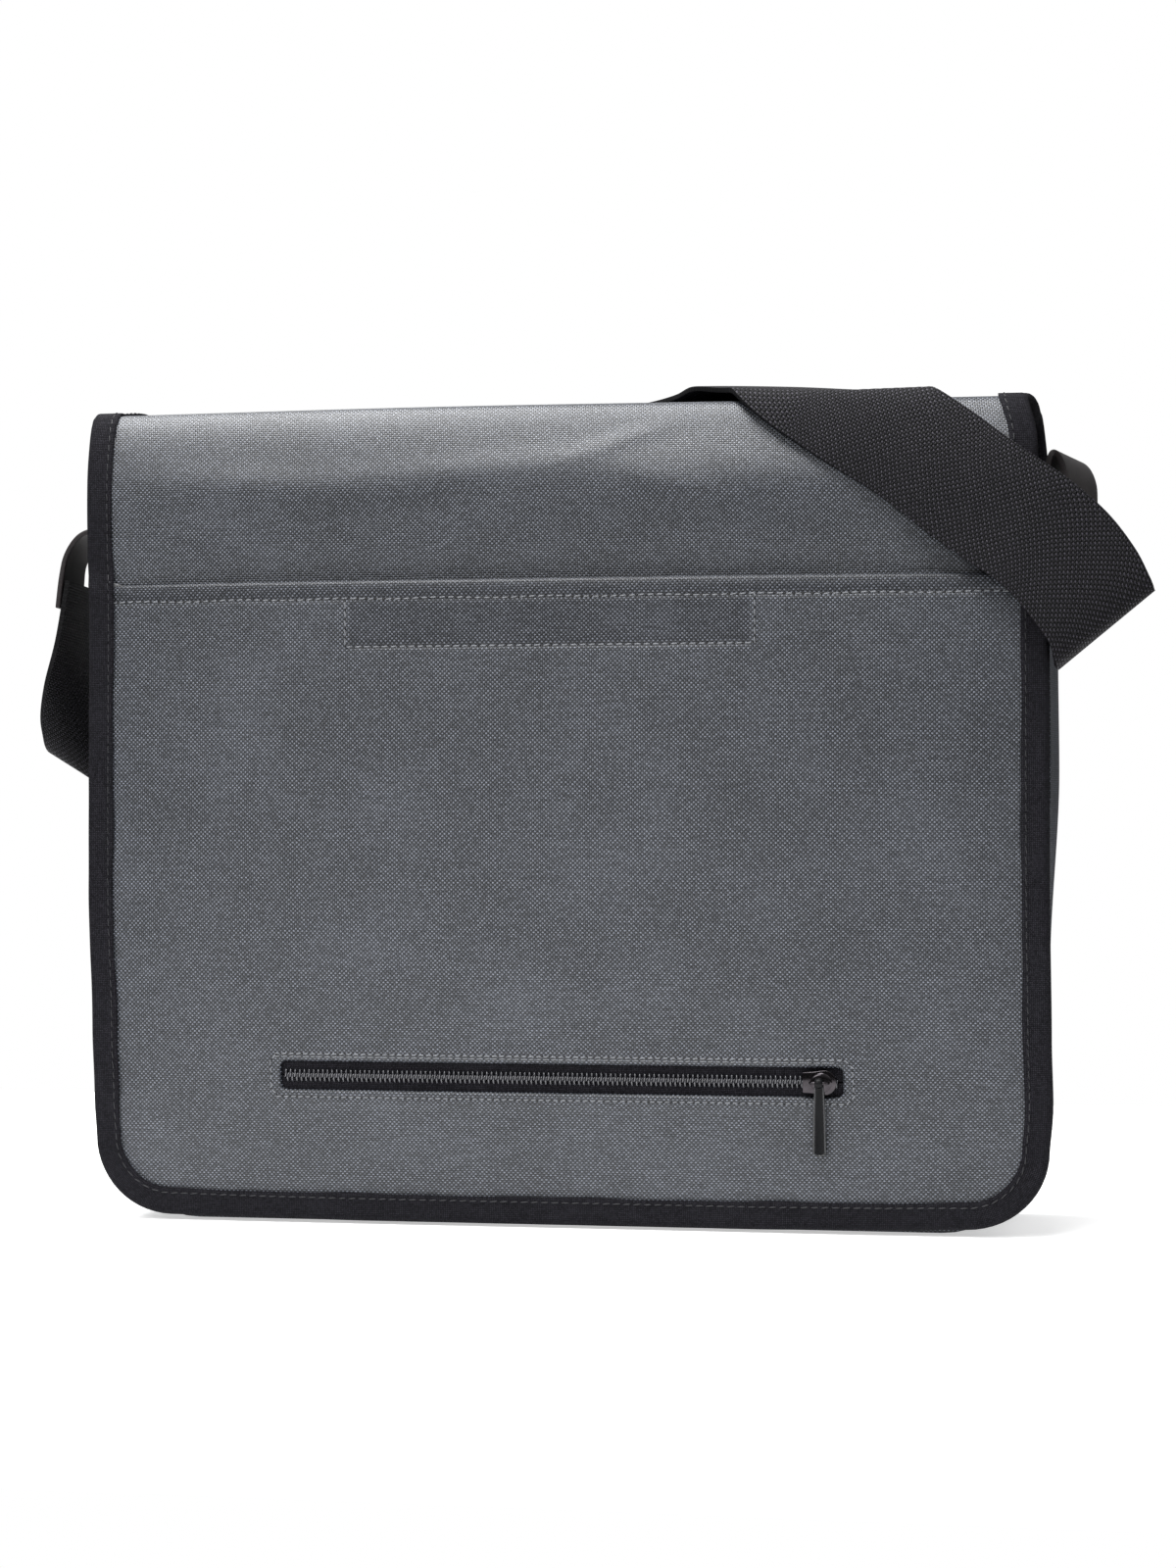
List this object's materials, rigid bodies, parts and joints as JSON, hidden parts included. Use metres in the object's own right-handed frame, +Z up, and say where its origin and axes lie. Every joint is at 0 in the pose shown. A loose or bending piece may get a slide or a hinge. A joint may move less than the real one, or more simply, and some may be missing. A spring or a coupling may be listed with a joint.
{
  "type": "laptop bag",
  "caption": "Upright messenger-style laptop bag in grey canvas, bound full-front flap with a document pocket and a zip, webbing shoulder strap.",
  "frame": {"origin": "middle of the bag's base, on the surface it stands on", "axes": "+Z up, +X to the right seen from the flap's side, the flap faces -Y"},
  "size_m": [0.4834, 0.1157, 0.3513],
  "materials": {
    "canvas": "coated plain weave, satin",
    "binding_tape": "matt woven tape",
    "webbing": "matt nylon webbing",
    "strap_tab": "smooth satin",
    "zip_coil": "moulded nylon",
    "slider_metal": "black nickel, polished",
    "pull_plastic": "satin coated"
  },
  "bodies": {
    "bag": {"front_panel": "canvas", "back_panel": "canvas", "gusset": "canvas", "flap": "canvas", "pocket_panel": "canvas", "flap_binding": "binding_tape", "zip_tape_upper": "binding_tape", "zip_tape_lower": "binding_tape", "zip_coil": "zip_coil", "zip_slider": "slider_metal", "strap": "webbing", "strap_tab_right": "strap_tab", "strap_tab_left": "strap_tab"},
    "pull": {"zip_pull": "pull_plastic"}
  },
  "joints": [
    {"name": "pull_hinge", "type": "hinge", "parent": "bag", "child": "pull", "pos_m": [0.1088, -0.05453, 0.06132], "axis": [-1, 0, 0], "range_deg": [0, 165]}
  ]
}
